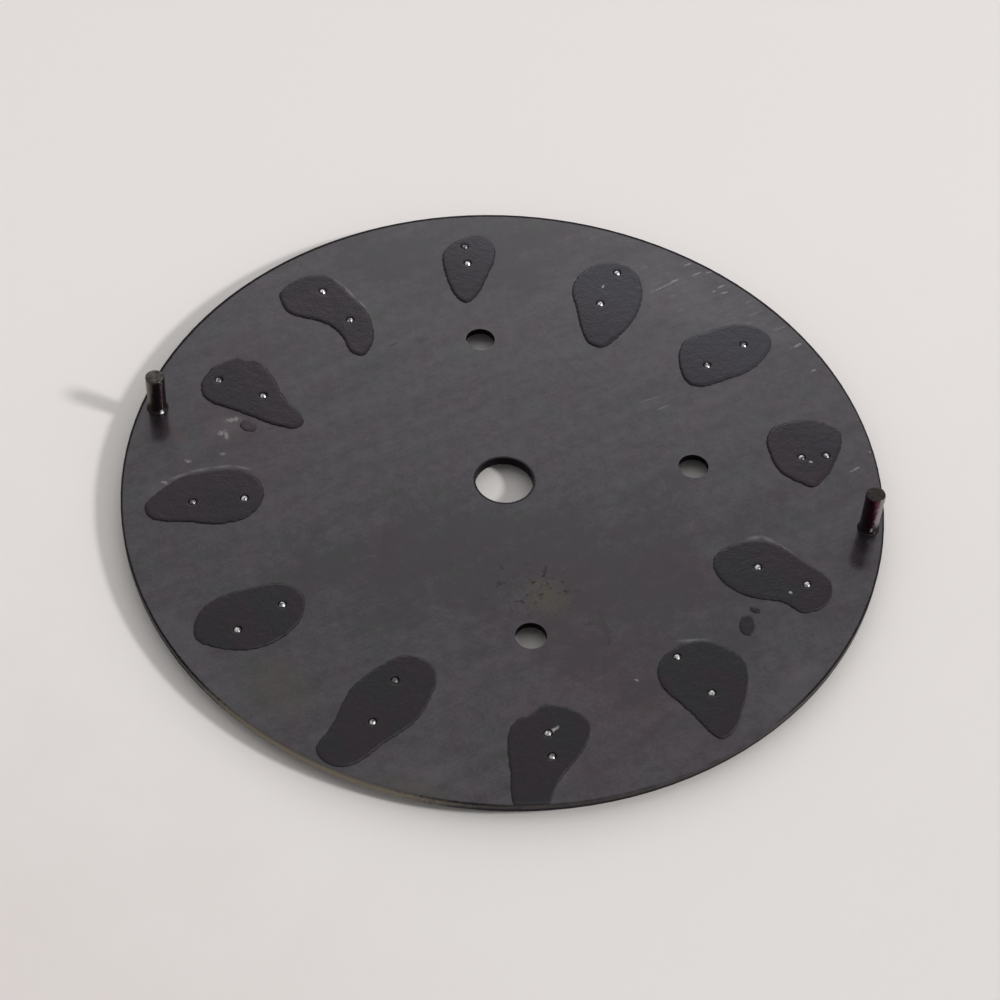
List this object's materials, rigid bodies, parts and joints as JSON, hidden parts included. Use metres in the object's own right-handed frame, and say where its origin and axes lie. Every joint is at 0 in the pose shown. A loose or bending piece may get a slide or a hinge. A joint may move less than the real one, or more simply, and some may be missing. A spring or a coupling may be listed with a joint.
{
  "type": "watch dial",
  "caption": "Round chronograph watch dial lying face down, with trimmed feet, a centre hole, small holes for counter hands, applied baton markers and lacquer dabs over their feet.",
  "frame": {"origin": "middle of the centre hole on the plate's back face", "axes": "+Z out of the back, along the dial feet; +Y to 12 o'clock; +X to 9 o'clock, so the hours run counter-clockwise about +Z"},
  "size_m": [0.03, 0.03, 0.0031],
  "materials": {
    "blackened_plate": "satin",
    "oxidised_foot": "satin",
    "polished_marker": "polished",
    "dark_lacquer": "gloss"
  },
  "bodies": {
    "root": {"dial_plate": "blackened_plate", "dial_foot_near_two": "oxidised_foot", "dial_foot_near_eight": "oxidised_foot", "hour_marker_01": "polished_marker", "hour_marker_02": "polished_marker", "hour_marker_03": "polished_marker", "hour_marker_04": "polished_marker", "hour_marker_05": "polished_marker", "hour_marker_06": "polished_marker", "hour_marker_07": "polished_marker", "hour_marker_08": "polished_marker", "hour_marker_09": "polished_marker", "hour_marker_10": "polished_marker", "hour_marker_11": "polished_marker", "hour_marker_12": "polished_marker", "lacquer_dab_01": "dark_lacquer", "lacquer_dab_02": "dark_lacquer", "lacquer_dab_03": "dark_lacquer", "lacquer_dab_04": "dark_lacquer", "lacquer_dab_05": "dark_lacquer", "lacquer_dab_06": "dark_lacquer", "lacquer_dab_07": "dark_lacquer", "lacquer_dab_08": "dark_lacquer", "lacquer_dab_09": "dark_lacquer", "lacquer_dab_10": "dark_lacquer", "lacquer_dab_11": "dark_lacquer", "lacquer_dab_12": "dark_lacquer"}
  },
  "joints": []
}
